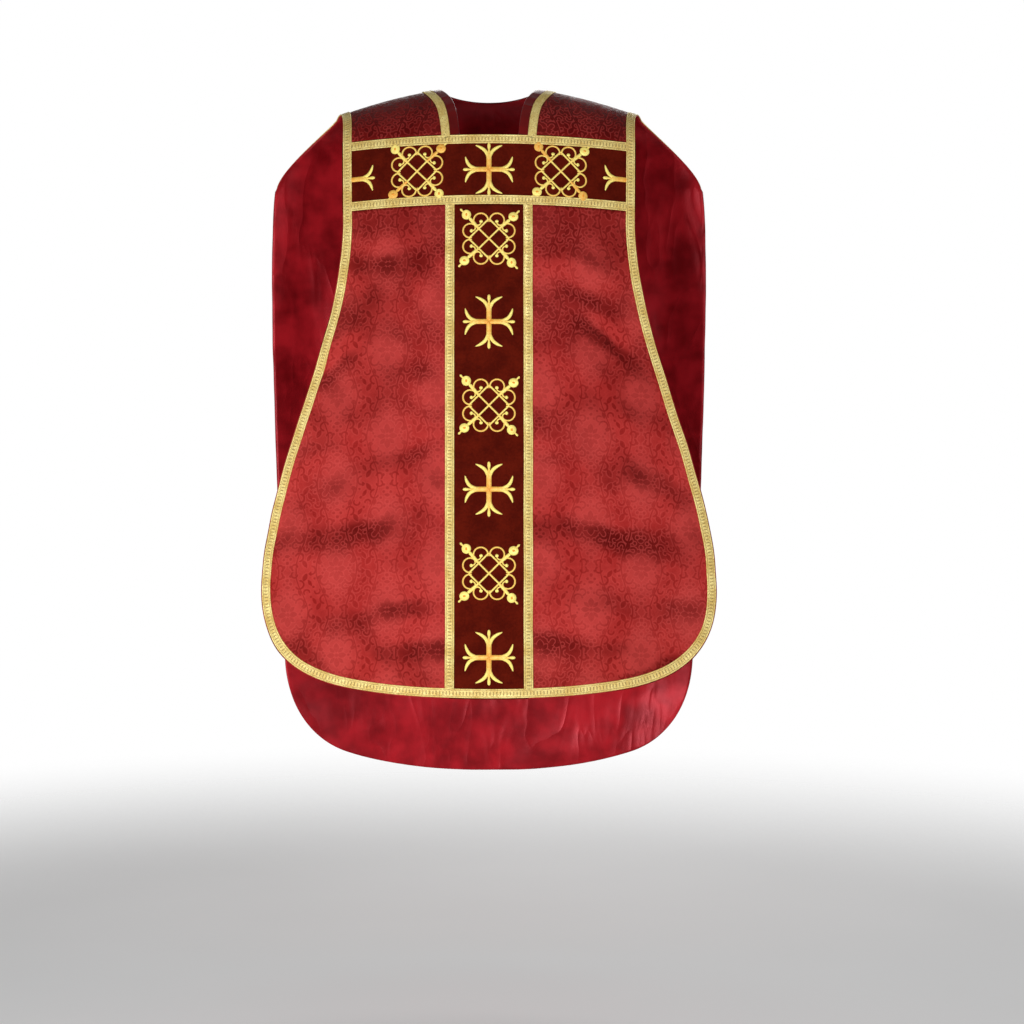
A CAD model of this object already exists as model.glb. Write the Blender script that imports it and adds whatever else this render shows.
import math

import bpy
import numpy as np
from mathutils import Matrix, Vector


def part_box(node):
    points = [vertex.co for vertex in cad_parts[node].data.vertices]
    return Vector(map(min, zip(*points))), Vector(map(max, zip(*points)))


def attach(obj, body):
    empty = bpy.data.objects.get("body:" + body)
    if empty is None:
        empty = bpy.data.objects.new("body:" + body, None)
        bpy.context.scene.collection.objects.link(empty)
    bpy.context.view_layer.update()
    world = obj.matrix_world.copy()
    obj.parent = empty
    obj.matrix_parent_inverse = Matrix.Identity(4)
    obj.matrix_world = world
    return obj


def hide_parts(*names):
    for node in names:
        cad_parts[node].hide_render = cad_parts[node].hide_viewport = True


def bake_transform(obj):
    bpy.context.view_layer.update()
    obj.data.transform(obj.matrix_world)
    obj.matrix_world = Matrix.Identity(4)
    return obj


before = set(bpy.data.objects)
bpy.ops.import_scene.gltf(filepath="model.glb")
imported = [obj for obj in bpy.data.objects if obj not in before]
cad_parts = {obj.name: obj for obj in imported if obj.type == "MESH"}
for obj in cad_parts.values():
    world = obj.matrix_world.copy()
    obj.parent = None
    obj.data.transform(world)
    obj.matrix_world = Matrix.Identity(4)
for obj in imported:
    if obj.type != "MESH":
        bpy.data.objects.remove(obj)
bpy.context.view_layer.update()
mm = 0.001

# The chasuble's cut. What the frame's own sizes give is read from them.
garment = {
    "patchHalf": 0.380,  # the cloth's surfaces are worked out this far each side
    "seamZ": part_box("front_lining")[1][2] + 1.5 * mm,  # seam between the shoulders and the crossbar
    "seamDrop": 9.4 * mm,  # how far the seam has fallen at the crossbar's ends
    "barHalf": 0.231,
    "barHeight": 0.112,
    "hemZ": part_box("front_lining")[0][2],
    "foldZ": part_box("back_lining")[1][2] + 3.0 * mm,  # where the back starts to hang free
    "backHemZ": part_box("back_lining")[0][2],
    "columnHalf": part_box("front_column_braid_left")[1][0],
    "columnSeam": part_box("front_column")[1][0],
    "braidWidth": 14.5 * mm,
    "ridgeY": 8.0 * mm,  # the shoulder seam lies this far behind the origin
    "upSpeed": 0.70,  # metres of the shoulder's curve for one unit of its parameter, at the front
    "downSpeed": 0.60,  # the same at the back fold
}

# Heights above the lining's inner face
layers = {"lining": 0.5 * mm, "canvas": 1.7 * mm, "face": 2.9 * mm, "trim": 3.0 * mm}


# the cloth's surface
def bezier(values, t):
    # Bezier curve through arrays: neighbours are averaged by t until one value is left
    values = [np.broadcast_to(np.asarray(value, float), np.shape(t)) for value in values]
    while len(values) > 1:
        values = [a + (b - a) * t for a, b in zip(values, values[1:])]
    return values[0]


def bowed(x, middle, rise):
    # parabola across the body: middle at x = 0 and middle + rise at the patch's side
    return mm * (middle + rise * (x / garment["patchHalf"]) ** 2)


def sloped(x, top, side, halfWay):
    # fall from the neck to the arms: a quartic Bezier of side, halfWay, top, halfWay, side
    values = [mm * value for value in (side, halfWay, top, halfWay, side)]
    return bezier(values, (x / garment["patchHalf"] + 1) / 2)


def seamLine(x):
    # height of the front seam: level in the middle, falling with x squared
    return garment["seamZ"] - garment["seamDrop"] * (x / garment["barHalf"]) ** 2


def shoulderPoint(x, v):
    # over the shoulder: y and z are cubic Beziers of v, from the front seam (0) to the fold (1)
    yRows = [bowed(x, *row) for row in ((-102, 96), (-50, 39), (102, -45), (120, -76))]
    zRows = [seamLine(x), sloped(x, 142, -84, -7), sloped(x, 155, -71, 6), garment["foldZ"] + 0 * x]
    return np.stack([x + 0 * v, bezier(yRows, v), bezier(zRows, v)], -1)


def frontDepth(x, z):
    # y of the hanging front: a cubic Bezier of height, each value bowed across the body
    low, top = garment["hemZ"] - 40 * mm, garment["seamZ"] + 12 * mm
    rows = [bowed(x, *row) for row in ((-154, 68), (-150, 76), (-158, 88), (-100, 96))]
    return bezier(rows, (z - low) / (top - low))


def frontPoint(x, t):
    # t metres below the seam, or above it (t < 0) on the shoulder
    under, over = np.maximum(t, 0), np.clip(-t / garment["upSpeed"], 0, 1)
    seam = seamLine(x)
    step = shoulderPoint(x, 0 * x)[..., 1] - frontDepth(x, seam)
    hanging = np.stack([x + 0 * t, frontDepth(x, seam - under) + step * np.exp(-under / 0.03), seam - under], -1)
    return np.where((t < 0)[..., None], shoulderPoint(x, over), hanging)


def backPoint(x, t):
    # t metres below the fold, or above it (t < 0) on the shoulder
    under, over = np.maximum(t, 0), np.clip(1 + t / garment["downSpeed"], 0, 1)
    length = garment["foldZ"] - garment["backHemZ"] + 40 * mm
    rows = [bowed(x, *row) for row in ((120, -76), (163, -76), (150, -60), (158, -56))]
    hanging = np.stack([x + 0 * t, bezier(rows, under / length), garment["foldZ"] - under], -1)
    return np.where((t < 0)[..., None], shoulderPoint(x, over), hanging)


# Soft folds and dents: (x, t, angle, length, width, depth), depth positive into the body
frontDents = [
    (0.181, 0.310, 39, 0.048, 0.011, 5.5),
    (0.149, 0.240, 30, 0.055, 0.018, 3.4),
    (0.257, 0.515, 16, 0.055, 0.018, 4.4),
    (0.090, 0.500, 10, 0.034, 0.014, 3.6),
    (0.190, 0.603, 9, 0.085, 0.022, 6.5),
    (0.205, 0.655, 4, 0.085, 0.026, -4.0),
    (0.118, 0.778, 10, 0.072, 0.018, 5.0),
    (0.250, 0.822, -24, 0.085, 0.018, 5.5),
    (0.310, 0.700, -22, 0.055, 0.020, 3.6),
    (-0.236, 0.345, -40, 0.048, 0.013, 4.6),
    (-0.161, 0.180, -12, 0.055, 0.016, 3.2),
    (-0.239, 0.515, -12, 0.055, 0.018, 4.0),
    (-0.115, 0.488, -20, 0.042, 0.015, 3.4),
    (-0.212, 0.600, -7, 0.080, 0.022, 6.2),
    (-0.215, 0.652, -3, 0.080, 0.026, -4.0),
    (-0.161, 0.729, -14, 0.085, 0.018, 3.8),
    (-0.119, 0.790, -9, 0.070, 0.017, 4.8),
    (-0.246, 0.815, 27, 0.075, 0.018, 5.5),
    (-0.222, 0.128, 0, 0.014, 0.009, 3.5),
    (0.220, 0.130, 0, 0.014, 0.009, 3.5),
]
backDents = [
    (-0.290, 0.300, 86, 0.260, 0.026, -8.0),
    (0.290, 0.320, -86, 0.260, 0.026, -8.0),
    (-0.235, 0.380, 84, 0.300, 0.030, 7.0),
    (0.235, 0.400, -84, 0.300, 0.030, 7.0),
    (-0.120, 0.640, 87, 0.300, 0.034, 6.0),
    (0.125, 0.660, -87, 0.300, 0.034, 6.0),
    (-0.275, 0.780, 76, 0.140, 0.028, -7.0),
    (0.270, 0.800, -76, 0.140, 0.028, -7.0),
]
dentWidth = 1.35  # every dent is this much wider than it is listed
hemRoll = {"start": 0.73, "length": 0.15, "depth": -5 * mm}  # the front's hem flares a little
ripple = {"waves": 30, "seed": 11, "long": 0.200, "short": 0.040, "depth": 0.11 * mm}


def waves(x, t, seed):
    # sum of plane waves of random direction and phase, deeper the longer they are
    draw = np.random.default_rng(ripple["seed"] + seed)
    total = np.zeros(np.shape(x + t))
    for _ in range(ripple["waves"]):
        length = draw.uniform(ripple["short"], ripple["long"])
        angle, phase = draw.uniform(0, math.pi), draw.uniform(0, 2 * math.pi)
        along = x * math.cos(angle) + t * math.sin(angle)
        total += (length / ripple["short"]) ** 0.8 * np.cos(2 * math.pi * along / length + phase)
    return total * ripple["depth"]


def relief(side, x, t):
    # waves and dents, fading out towards the seam or fold that the cloth hangs from
    dents = frontDents if side == "front" else backDents
    total = waves(x, t, 0 if side == "front" else 40)
    for cx, ct, angle, length, width, depth in dents:
        turn = math.radians(angle)
        along = (x - cx) * math.cos(turn) + (t - ct) * math.sin(turn)
        across = ((t - ct) * math.cos(turn) - (x - cx) * math.sin(turn)) / dentWidth
        total -= 0.8 * depth * mm * np.exp(-((along / length) ** 2) - (across / width) ** 2)
    if side == "front":
        roll = np.clip((t - hemRoll["start"]) / hemRoll["length"], 0, 1)
        total -= hemRoll["depth"] * roll**2 * (3 - 2 * roll)
    start = 0.115 if side == "front" else 0.0
    return total * np.clip((t - start) / 0.10, 0, 1) ** 2 * (3 - 2 * np.clip((t - start) / 0.10, 0, 1))


def slopes(side, x, t):
    # change of the surface for a step across and for a step down
    point, d = (frontPoint if side == "front" else backPoint), 0.5 * mm
    return (point(x + d, t) - point(x - d, t)) / (2 * d), (point(x, t + d) - point(x, t - d)) / (2 * d)


def clothPoint(side, x, t, height=0.0):
    # surface, plus height and relief along its outward normal
    x, t = np.broadcast_arrays(np.asarray(x, float), np.asarray(t, float))
    across, down = slopes(side, x, t)
    normal = np.cross(down, across) if side == "front" else np.cross(across, down)
    normal /= np.linalg.norm(normal, axis=-1, keepdims=True)
    base = (frontPoint if side == "front" else backPoint)(x, t)
    return base + normal * (np.asarray(height) + relief(side, x, t))[..., None]


def clothLength(side, x, t):
    # true length of cloth from t = 0 to t, summed over twenty-four short steps
    steps = (np.arange(24) + 0.5) / 24
    _, down = slopes(side, x[..., None] + 0 * steps, t[..., None] * steps)
    return np.linalg.norm(down, axis=-1).mean(-1) * t


def solveShoulder(x, target, axis, low, high):
    # parameter v where the shoulder's y (axis 1) or z (axis 2) is the target, by halving
    low, high = low + 0 * x, high + 0 * x
    rising = axis == 1
    for _ in range(36):
        middle = (low + high) / 2
        below = (shoulderPoint(x, middle)[..., axis] < target) == rising
        low, high = np.where(below, middle, low), np.where(below, high, middle)
    return (low + high) / 2


# outlines, as (x, t) paths
def curve(points, each=24):
    # cubic Beziers end to end, every fourth point shared, in millimetres
    points = mm * np.array(points, float)
    t = np.linspace(0, 1, each)
    parts = []
    for i in range(0, len(points) - 1, 3):
        parts.append(np.stack([bezier(list(points[i : i + 4, k]), t) for k in (0, 1)], -1))
    return np.concatenate([parts[0]] + [part[1:] for part in parts[1:]])


def spaced(path, count):
    # the same path with count points at equal steps
    steps = np.linalg.norm(np.diff(path, axis=0), axis=1)
    where = np.concatenate([[0], np.cumsum(steps)])
    at = np.linspace(0, where[-1], count)
    return np.stack([np.interp(at, where, path[:, k]) for k in range(path.shape[1])], -1)


def mirrored(path):
    return path * np.array([-1, 1])


def join(*paths):
    return np.concatenate([paths[0]] + [path[1:] for path in paths[1:]])


def inward(path, by):
    # path moved to its left by a distance, in its own plane
    step = np.gradient(path, axis=0)
    left = np.stack([-step[:, 1], step[:, 0]], -1)
    return path + by * left / np.linalg.norm(left, axis=1, keepdims=True)


seam, hem, backHem, fold = (garment[key] / mm for key in ("seamZ", "hemZ", "backHemZ", "foldZ"))
waist = seam - garment["barHeight"] / mm - 14
frontRun = curve([  # front outline, +X side, from the seam down to the middle of the hem
    (231, seam - 9), (230.3, seam - 50), (229.6, waist + 40), (229, waist),
    (223, -398), (345, -600), (356, -775), (366, -876), (326, -934), (212, hem + 12),
    (144, hem + 2), (72, hem), (0, hem),
], 60)
frontSide = np.stack([frontRun[:, 0], np.maximum(seamLine(frontRun[:, 0]) - frontRun[:, 1], 0)], -1)
backRun = curve([  # back outline, from the fold down to the middle of the hem
    (350, fold), (367, -250), (352, -700), (340, -935),
    (337, -1010), (300, -1070), (240, backHem + 35), (165, backHem + 8), (80, backHem), (0, backHem),
], 60)
backSide = np.stack([backRun[:, 0], garment["foldZ"] - backRun[:, 1]], -1)

ridge = {"neck": 81 * mm, "tip": 243 * mm}


def ridgePath(side, start, end, count=40):
    # the shoulder seam, where y is ridgeY
    x = np.linspace(start, end, count)
    v = solveShoulder(x, garment["ridgeY"], 1, 0.0, 1.0)
    return np.stack([x, -garment["upSpeed"] * v if side == "front" else garment["downSpeed"] * (v - 1)], -1)


def ridgeT(side, x):
    # t of the shoulder seam at x
    v = solveShoulder(x, garment["ridgeY"], 1, 0.0, 1.0)
    return -garment["upSpeed"] * v if side == "front" else garment["downSpeed"] * (v - 1)


def planPath(side, points):
    # a curve drawn as seen from above, laid on the shoulder
    plan = curve(points)
    v = solveShoulder(plan[:, 0], plan[:, 1], 1, 0.0, 1.0)
    return np.stack([plan[:, 0], -garment["upSpeed"] * v if side == "front" else garment["downSpeed"] * (v - 1)], -1)


def capePath():
    # armhole edge behind the shoulder, drawn as seen from the back, from the tip to the fold
    tip = shoulderPoint(np.array([ridge["tip"]]), solveShoulder(np.array([ridge["tip"]]), garment["ridgeY"], 1, 0.0, 1.0))
    seen = curve([(243, tip[0, 2] / mm), (290, -76), (342, -118), (350, fold)])
    v = solveShoulder(seen[:, 0], seen[:, 1], 2, 0.42, 1.0)
    path = np.stack([seen[:, 0], garment["downSpeed"] * (v - 1)], -1)
    far = np.linalg.norm(path - path[0], axis=1)
    path[:, 1] += (ridgeT("back", path[:1, 0]) - path[0, 1]) * np.clip(1 - far / 0.05, 0, 1) ** 2
    return path


frontNeck = planPath("front", [(46, -106), (46.5, -98), (51, -78), (57, -62), (63, -46), (78, -25), (81, 8)])
frontNeck[0, 1] = 0
backNeck = planPath("back", [(81, 8), (81, 40), (45, 60), (0, 60)])
frontArm = planPath("front", [(231, -68), (232, -36), (237, -12), (243, 8)])
frontArm[0, 1] = 0
cape = capePath()
cape[-1, 1] = 0


# meshes
def coons(top, bottom, left, right, rows, columns):
    # grid between four paths: the two ruled surfaces added, less the bilinear one
    top, bottom = spaced(top, columns), spaced(bottom, columns)
    left, right = spaced(left, rows), spaced(right, rows)
    a, b = np.linspace(0, 1, rows)[:, None, None], np.linspace(0, 1, columns)[None, :, None]
    ruled = (1 - a) * top[None] + a * bottom[None] + (1 - b) * left[:, None] + b * right[:, None]
    corners = (1 - a) * ((1 - b) * top[0] + b * top[-1]) + a * ((1 - b) * bottom[0] + b * bottom[-1])
    return ruled - corners


def gridFaces(rows, columns, wrap=False):
    # quads of a grid, row by row; wrap joins the last column to the first
    i, j = np.meshgrid(np.arange(rows - 1), np.arange(columns if wrap else columns - 1), indexing="ij")
    k = (j + 1) % columns
    return np.stack([i * columns + j, i * columns + k, (i + 1) * columns + k, (i + 1) * columns + j], -1).reshape(-1, 4)


def makeMesh(name, points, faces, uvs, material, caps=()):
    mesh = bpy.data.meshes.new(name)
    mesh.from_pydata(points.reshape(-1, 3).tolist(), [], faces.tolist() + [list(cap) for cap in caps])
    mesh.validate()
    corner = np.empty(len(mesh.loops), int)
    mesh.loops.foreach_get("vertex_index", corner)
    layer = mesh.uv_layers.new(name="Cloth")
    layer.data.foreach_set("uv", uvs.reshape(-1, 2)[corner].ravel())
    mesh.shade_smooth()
    mesh.materials.append(material)
    piece = bpy.data.objects.new(name, mesh)
    bpy.context.scene.collection.objects.link(piece)
    return piece


def sheetPiece(name, side, grid, height, thick, material):
    # cloth over a grid of (x, t), with its true lengths as the UV map, in metres
    x, t = grid[..., 0], grid[..., 1]
    points = clothPoint(side, x, t, height)
    down = clothLength(side, x, t)
    faces = gridFaces(*x.shape)
    sample = points.reshape(-1, 3)[faces[len(faces) // 2]]
    facing = np.cross(sample[1] - sample[0], sample[2] - sample[1])[1]
    if (facing > 0) == (side == "front"):
        faces = faces[:, ::-1]
    piece = makeMesh(name, points, faces, np.stack([x, -down], -1), material)
    along, across = np.gradient(points, axis=0), np.gradient(points, axis=1)
    normal = np.cross(along, across)
    normal *= np.sign(normal[..., 1].mean()) * (-1 if side == "front" else 1)
    lean = piece.data.attributes.new("Lean", "FLOAT", "POINT")
    lean.data.foreach_set("value", (normal[..., 2] / np.linalg.norm(normal, axis=-1)).astype(np.float32).ravel())
    wall = piece.modifiers.new("Thickness", "SOLIDIFY")
    wall.thickness, wall.offset = thick, -1
    return piece


def framesAlong(side, path):
    # for each point of a path on the cloth: the step in (x, t) that goes one metre to its right,
    # which is its left as seen on the cloth, because t runs down
    x, t = path[:, 0], path[:, 1]
    across, down = slopes(side, x, t)
    e, f, g = (across * across).sum(-1), (across * down).sum(-1), (down * down).sum(-1)
    step = np.gradient(path, axis=0)
    along = e * step[:, 0] + f * step[:, 1]
    aside = f * step[:, 0] + g * step[:, 1]
    left = np.stack([aside, -along], -1)
    size = e * left[:, 0] ** 2 + 2 * f * left[:, 0] * left[:, 1] + g * left[:, 1] ** 2
    return left / np.sqrt(size)[:, None]


def mitred(side, where, path, reach=0.045):
    # cut or lengthen the first rows of a strip so that its end lies along the shoulder seam
    first, step = where[0], path[0] - path[1]
    nudge = 1 * mm
    slope = (ridgeT(side, first[:, 0] + nudge) - ridgeT(side, first[:, 0] - nudge)) / (2 * nudge)
    along = (ridgeT(side, first[:, 0]) - first[:, 1]) / (step[1] - slope * step[0])
    far = np.linalg.norm(path - path[0], axis=1)
    share = np.clip(1 - far / reach, 0, 1) * (np.cumsum(far < reach) == np.arange(1, len(path) + 1))
    return where + share[:, None, None] * along[None, :, None] * step


def ribbonPiece(name, side, path, profile, material, atSeam=()):
    # closed strip: a ring of (across, height) points carried along a path on the cloth
    profile = np.array(profile, float) * mm
    left = framesAlong(side, path)
    offset = profile[None, :, 0] + np.zeros((len(path), 1))
    where = path[:, None, :] + left[:, None, :] * offset[..., None]
    if "start" in atSeam:
        where = mitred(side, where, path)
    if "end" in atSeam:
        where = mitred(side, where[::-1], path[::-1])[::-1]
    points = clothPoint(side, where[..., 0], where[..., 1], profile[None, :, 1] + 0 * offset)
    line = clothPoint(side, path[:, 0], path[:, 1])
    run = np.concatenate([[0], np.cumsum(np.linalg.norm(np.diff(line, axis=0), axis=1))])
    uvs = np.stack([run[:, None] + 0 * offset, offset], -1)
    count = len(profile)
    faces = gridFaces(len(path), count, wrap=True)
    caps = [list(range(count)), list(range(len(path) * count - 1, (len(path) - 1) * count - 1, -1))]
    a, b, c = points[0, 0], points[0, 1], points[1, 1]
    outside = points[0, 0] - points[0].mean(0)
    if np.cross(b - a, c - b) @ outside < 0:
        faces = faces[:, ::-1]
        caps = [cap[::-1] for cap in caps]
    return makeMesh(name, points, faces, uvs, material, caps)


# node helpers
def place(tree, kind, sockets=None, **settings):
    # a node with its settings; a socket's value is a number, a colour or another node's output
    node = tree.nodes.new(kind)
    for key, value in settings.items():
        setattr(node, key, value)
    for key, value in (sockets or {}).items():
        if isinstance(value, bpy.types.NodeSocket):
            tree.links.new(value, node.inputs[key])
        else:
            node.inputs[key].default_value = value
    return node


def maths(tree, operation, a, b=0.0, c=0.0):
    return place(tree, "ShaderNodeMath", {0: a, 1: b, 2: c}, operation=operation).outputs[0]


def ramp(tree, value, low, high, toLow=0.0, toHigh=1.0):
    sockets = {"Value": value, "From Min": low, "From Max": high, "To Min": toLow, "To Max": toHigh}
    return place(tree, "ShaderNodeMapRange", sockets, interpolation_type="SMOOTHSTEP").outputs[0]


def mixed(tree, factor, a, b, blend="MIX"):
    node = place(tree, "ShaderNodeMix", data_type="RGBA", blend_type=blend, clamp_result=True)
    for key, value in ((0, factor), (6, a), (7, b)):
        if isinstance(value, bpy.types.NodeSocket):
            tree.links.new(value, node.inputs[key])
        else:
            node.inputs[key].default_value = value
    return node.outputs[2]


def newGroup(name, inputs, outputs):
    tree = bpy.data.node_groups.new(name, "ShaderNodeTree")
    for label, kind, value in inputs:
        socket = tree.interface.new_socket(label, in_out="INPUT", socket_type=kind)
        if value is not None:
            socket.default_value = value
    for label, kind in outputs:
        tree.interface.new_socket(label, in_out="OUTPUT", socket_type=kind)
    return tree, tree.nodes.new("NodeGroupInput").outputs, tree.nodes.new("NodeGroupOutput").inputs


def useGroup(tree, group, **sockets):
    node = tree.nodes.new("ShaderNodeGroup")
    node.node_tree = group
    for key, value in sockets.items():
        if isinstance(value, bpy.types.NodeSocket):
            tree.links.new(value, node.inputs[key])
        else:
            node.inputs[key].default_value = value
    return node.outputs


number, point3 = "NodeSocketFloat", "NodeSocketVector"


def weaveGroup():
    # warp and weft: two sets of rounded ridges, one over the other by turns
    tree, given, out = newGroup(
        "Weave", [("Cloth", point3, None), ("Thread", number, 0.5 * mm)], [("Height", number)]
    )
    parts = place(tree, "ShaderNodeSeparateXYZ", {0: given["Cloth"]}).outputs
    turn = maths(tree, "DIVIDE", 2 * math.pi, given["Thread"])
    warp = maths(tree, "SINE", maths(tree, "MULTIPLY", parts[0], turn))
    weft = maths(tree, "SINE", maths(tree, "MULTIPLY", parts[1], turn))
    tree.links.new(maths(tree, "MULTIPLY_ADD", warp, weft, 0.0), out["Height"])
    return tree


def mottleGroup():
    # slow change of shade over the cloth: noise at two sizes, spread to 0..1
    tree, given, out = newGroup(
        "Mottle", [("Place", point3, None), ("Size", number, 0.05), ("Fine", number, 0.012)], [("Shade", number)]
    )
    slow = place(tree, "ShaderNodeTexNoise", {"Vector": given["Place"], "Detail": 3.0})
    tree.links.new(maths(tree, "DIVIDE", 1.0, given["Size"]), slow.inputs["Scale"])
    quick = place(tree, "ShaderNodeTexNoise", {"Vector": given["Place"], "Detail": 2.0})
    tree.links.new(maths(tree, "DIVIDE", 1.0, given["Fine"]), quick.inputs["Scale"])
    total = maths(tree, "MULTIPLY_ADD", quick.outputs["Fac"], 0.35, maths(tree, "MULTIPLY", slow.outputs["Fac"], 0.65))
    tree.links.new(ramp(tree, total, 0.34, 0.66), out["Shade"])
    return tree


def spotGroup():
    # depth inside a round spot: Radius less the distance from the centre
    tree, given, out = newGroup(
        "Spot", [("Point", point3, None), ("Centre", point3, None), ("Radius", number, 2.0)], [("Depth", number)]
    )
    gap = place(tree, "ShaderNodeVectorMath", {0: given["Point"], 1: given["Centre"]}, operation="DISTANCE")
    tree.links.new(maths(tree, "SUBTRACT", given["Radius"], gap.outputs["Value"]), out["Depth"])
    return tree


def scrollGroup():
    # depth inside part of a ring: Width less the distance from the circle of Radius, and less
    # again where it faces away from Towards by more than Opening
    tree, given, out = newGroup(
        "Scroll",
        [("Point", point3, None), ("Centre", point3, None), ("Towards", point3, None),
         ("Radius", number, 8.0), ("Width", number, 2.0), ("Opening", number, 0.0)],
        [("Depth", number)],
    )
    away = place(tree, "ShaderNodeVectorMath", {0: given["Point"], 1: given["Centre"]}, operation="SUBTRACT")
    size = place(tree, "ShaderNodeVectorMath", {0: away.outputs[0]}, operation="LENGTH").outputs["Value"]
    off = maths(tree, "ABSOLUTE", maths(tree, "SUBTRACT", size, given["Radius"]))
    unit = place(tree, "ShaderNodeVectorMath", {0: away.outputs[0]}, operation="NORMALIZE")
    facing = place(tree, "ShaderNodeVectorMath", {0: unit.outputs[0], 1: given["Towards"]}, operation="DOT_PRODUCT")
    miss = maths(tree, "MAXIMUM", maths(tree, "SUBTRACT", given["Opening"], facing.outputs["Value"]), 0.0)
    short = maths(tree, "MULTIPLY", miss, given["Radius"])
    depth = maths(tree, "SUBTRACT", given["Width"], off)
    tree.links.new(maths(tree, "SUBTRACT", depth, short), out["Depth"])
    return tree


def leafGroup():
    # depth inside a pointed leaf: its share of Length and of Width taken from one, times Width
    tree, given, out = newGroup(
        "Leaf",
        [("Point", point3, None), ("Centre", point3, None), ("Turn", point3, None), ("Length", number, 6.0),
         ("Width", number, 2.5)],
        [("Depth", number)],
    )
    away = place(tree, "ShaderNodeVectorMath", {0: given["Point"], 1: given["Centre"]}, operation="SUBTRACT")
    along = place(tree, "ShaderNodeVectorMath", {0: away.outputs[0], 1: given["Turn"]}, operation="DOT_PRODUCT")
    aside = place(tree, "ShaderNodeVectorMath", {0: away.outputs[0], 1: given["Turn"]}, operation="CROSS_PRODUCT")
    off = place(tree, "ShaderNodeVectorMath", {0: aside.outputs[0]}, operation="LENGTH").outputs["Value"]
    a = maths(tree, "DIVIDE", along.outputs["Value"], given["Length"])
    total = maths(tree, "ADD", maths(tree, "MULTIPLY", a, a), maths(tree, "DIVIDE", off, given["Width"]))
    tree.links.new(maths(tree, "MULTIPLY", maths(tree, "SUBTRACT", 1.0, total), given["Width"]), out["Depth"])
    return tree


# The damask's figure, in millimetres within one repeat: column to the right, height up
figure = {
    "column": 39.5,  # half the width of a column of the design, which is mirrored about its middle
    "repeat": 135.0,
    "wander": 0.55,  # how far the weave strays from the drawing
    "spots": [
        ((0, 0), 2.6), ((0, 33), 2.3), ((4.6, 26.5), 1.9), ((0, -33), 2.3), ((4.6, -26.5), 1.9), ((19, 0), 1.8),
        ((22, 5), 1.6), ((22, -5), 1.6), ((0, 54), 2.4), ((5.5, 60), 2.0), ((5.5, 48), 2.0), ((35, 13), 1.7),
        ((35, -13), 1.7), ((37.5, 26), 1.9), ((37.5, -26), 1.9), ((10, 39), 1.7), ((10, -39), 1.7),
        ((0, -54), 2.4), ((5.5, -60), 2.0), ((5.5, -48), 2.0),
    ],
    "scrolls": [
        ((20, 17), (0.6, 0.8, 0), 6.6, 1.25, -0.45), ((20, -17), (0.6, -0.8, 0), 6.6, 1.25, -0.45),
        ((13, 27), (-0.9, 0.43, 0), 4.6, 1.15, -0.3), ((13, -27), (-0.9, -0.43, 0), 4.6, 1.15, -0.3),
        ((20, 46), (0.8, -0.6, 0), 6.4, 1.3, -0.45), ((20, -46), (0.8, 0.6, 0), 6.4, 1.3, -0.45),
        ((12, 62), (-0.5, -0.86, 0), 4.8, 1.15, -0.35), ((12, -62), (-0.5, 0.86, 0), 4.8, 1.15, -0.35),
        ((31, 33), (-0.3, 0.95, 0), 4.4, 1.1, -0.3), ((31, -33), (-0.3, -0.95, 0), 4.4, 1.1, -0.3),
        ((39.5, 0), (-1, 0, 0), 6.5, 1.2, -0.5),
    ],
    "leaves": [
        ((0, 11.5), (0, 1, 0), 7.5, 4.4), ((0, -11.5), (0, 1, 0), 7.5, 4.4), ((9.0, 0), (1, 0, 0), 6.5, 4.0),
        ((7, 8), (0.7, 0.7, 0), 5.5, 2.6), ((7, -8), (0.7, -0.7, 0), 5.5, 2.6),
        ((29, 57), (0.5, 0.86, 0), 7.0, 3.4), ((29, -57), (0.5, -0.86, 0), 7.0, 3.4),
        ((36, 48), (-0.5, 0.86, 0), 6.0, 2.6), ((36, -48), (-0.5, -0.86, 0), 6.0, 2.6),
        ((20, 33), (0.34, -0.94, 0), 5.5, 2.4), ((20, -33), (0.34, 0.94, 0), 5.5, 2.4),
        ((27, 11), (0.8, 0.6, 0), 5.0, 2.2), ((27, -11), (0.8, -0.6, 0), 5.0, 2.2),
        ((0, 43), (1, 0, 0), 4.5, 2.4), ((0, -43), (1, 0, 0), 4.5, 2.4), ((39.5, 62), (1, 0, 0), 5.0, 3.4),
    ],
    "vine": (23.0, 9.0, 0.75),  # mean distance from the column's middle, sway, half the line's width
}


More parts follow.
